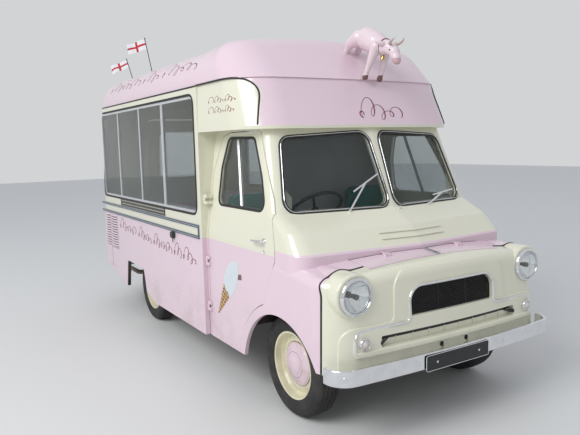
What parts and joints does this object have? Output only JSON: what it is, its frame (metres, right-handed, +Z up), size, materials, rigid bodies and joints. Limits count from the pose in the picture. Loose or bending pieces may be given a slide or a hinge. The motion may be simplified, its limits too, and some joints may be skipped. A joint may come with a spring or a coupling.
{
  "type": "ice cream truck",
  "caption": "Vintage two-tone ice cream truck: rounded cab and nose, serving body with large side windows, hinged doors and bonnet, steered front wheels.",
  "frame": {"origin": "on the ground, midway along the overall length and width", "axes": "+X forward along the vehicle, +Y to its left, +Z up"},
  "size_m": [4.5085, 1.816, 2.8607],
  "materials": {
    "pink_paint": "gloss pale pink enamel",
    "body_two_tone": "gloss enamel, pale pink below the waist and cream above",
    "cream_paint": "gloss cream enamel",
    "glass": "clear, slightly grey",
    "lamp_glass": "fluted lamp lens",
    "chrome": "polished chrome plate",
    "aluminium": "satin aluminium",
    "moulding": "ribbed aluminium strip, dulled grey-blue",
    "tyre": "black rubber, dusty",
    "wheel_paint": "cream enamel with a pink hub cap",
    "chassis_paint": "black chassis paint, road dust",
    "cast_iron": "dull grey",
    "steel": "dulled steel",
    "black_mesh": "satin black fine mesh",
    "dark_plastic": "black moulded plastic",
    "seat_cloth": "teal cloth cover",
    "interior_panel": "white laminate",
    "flag_cloth": "thin white cloth with a red cross"
  },
  "bodies": {
    "van": {"chassis_frame": "chassis_paint", "front_crossmember": "chassis_paint", "wishbones": "chassis_paint", "coil_springs": "chassis_paint", "rear_axle": "chassis_paint", "leaf_springs": "chassis_paint", "engine": "cast_iron", "exhaust": "steel", "fuel_tank": "chassis_paint", "cab_floor": "chassis_paint", "front_wings": "pink_paint", "nose_panel": "cream_paint", "grille": "black_mesh", "front_bumper": "chrome", "headlamps": "lamp_glass", "marker_lamps": "lamp_glass", "cab_shell": "cream_paint", "windscreen_glass": "glass", "wipers": "chrome", "dashboard": "dark_plastic", "steering_column": "dark_plastic", "seats": "seat_cloth", "body_side_right": "body_two_tone", "body_side_left": "body_two_tone", "body_floor": "interior_panel", "rear_panel": "cream_paint", "roof": "pink_paint", "luton_panels": "cream_paint", "side_glass": "glass", "window_frames": "aluminium", "cabinets": "interior_panel", "cab_partition": "aluminium", "side_mouldings": "moulding", "cow_figure": "pink_paint", "flag_poles": "dark_plastic", "flags": "flag_cloth"},
    "bonnet": {"bonnet": "pink_paint"},
    "cab_door_right": {"cab_door_right": "body_two_tone", "door_glass_right": "glass"},
    "cab_door_left": {"cab_door_left": "body_two_tone", "door_glass_left": "glass"},
    "rear_door": {"rear_door": "cream_paint", "rear_door_glass": "glass"},
    "steering_wheel": {"steering_wheel": "dark_plastic"},
    "knuckle_right": {"knuckle_right": "chassis_paint"},
    "knuckle_left": {"knuckle_left": "chassis_paint"},
    "wheel_front_right": {"wheel_front_right": "wheel_paint", "tyre_front_right": "tyre"},
    "wheel_front_left": {"wheel_front_left": "wheel_paint", "tyre_front_left": "tyre"},
    "wheel_rear_right": {"wheel_rear_right": "wheel_paint", "tyre_rear_right": "tyre"},
    "wheel_rear_left": {"wheel_rear_left": "wheel_paint", "tyre_rear_left": "tyre"}
  },
  "joints": [
    {"name": "cab_door_right_hinge", "type": "hinge", "parent": "van", "child": "cab_door_right", "pos_m": [0.58, -0.874, 0.85], "axis": [0, 0, -1], "range_deg": [0, 70]},
    {"name": "cab_door_left_hinge", "type": "hinge", "parent": "van", "child": "cab_door_left", "pos_m": [0.58, 0.874, 0.85], "axis": [0, 0, 1], "range_deg": [0, 70]},
    {"name": "bonnet_hinge", "type": "hinge", "parent": "van", "child": "bonnet", "pos_m": [1.906, 0, 1.022], "axis": [0, -1, 0], "range_deg": [0, 50]},
    {"name": "rear_door_hinge", "type": "hinge", "parent": "van", "child": "rear_door", "pos_m": [-2.1949, -0.353, 1.275], "axis": [0.0656, 0, 0.9978], "range_deg": [0, 100]},
    {"name": "steer_right", "type": "hinge", "parent": "van", "child": "knuckle_right", "pos_m": [1.55, -0.594, 0.32], "axis": [0, 0, 1], "range_deg": [-30, 30]},
    {"name": "steer_left", "type": "hinge", "parent": "van", "child": "knuckle_left", "pos_m": [1.55, 0.594, 0.32], "axis": [0, 0, 1], "range_deg": [-30, 30]},
    {"name": "steering_wheel_turn", "type": "hinge", "parent": "van", "child": "steering_wheel", "pos_m": [1.3, -0.4, 1.24], "axis": [-0.643, 0, 0.7659], "range_deg": [-485, 485]},
    {"name": "wheel_front_right_spin", "type": "hinge", "parent": "knuckle_right", "child": "wheel_front_right", "pos_m": [1.55, -0.686, 0.32], "axis": [0, 1, 0], "continuous": true},
    {"name": "wheel_front_left_spin", "type": "hinge", "parent": "knuckle_left", "child": "wheel_front_left", "pos_m": [1.55, 0.686, 0.32], "axis": [0, 1, 0], "continuous": true},
    {"name": "wheel_rear_right_spin", "type": "hinge", "parent": "van", "child": "wheel_rear_right", "pos_m": [-1.041, -0.686, 0.32], "axis": [0, 1, 0], "continuous": true},
    {"name": "wheel_rear_left_spin", "type": "hinge", "parent": "van", "child": "wheel_rear_left", "pos_m": [-1.041, 0.686, 0.32], "axis": [0, 1, 0], "continuous": true}
  ],
  "couplings": [
    {"joint": "steer_left", "follows": "steer_right", "ratio": 1},
    {"joint": "steering_wheel_turn", "follows": "steer_right", "ratio": 16}
  ]
}
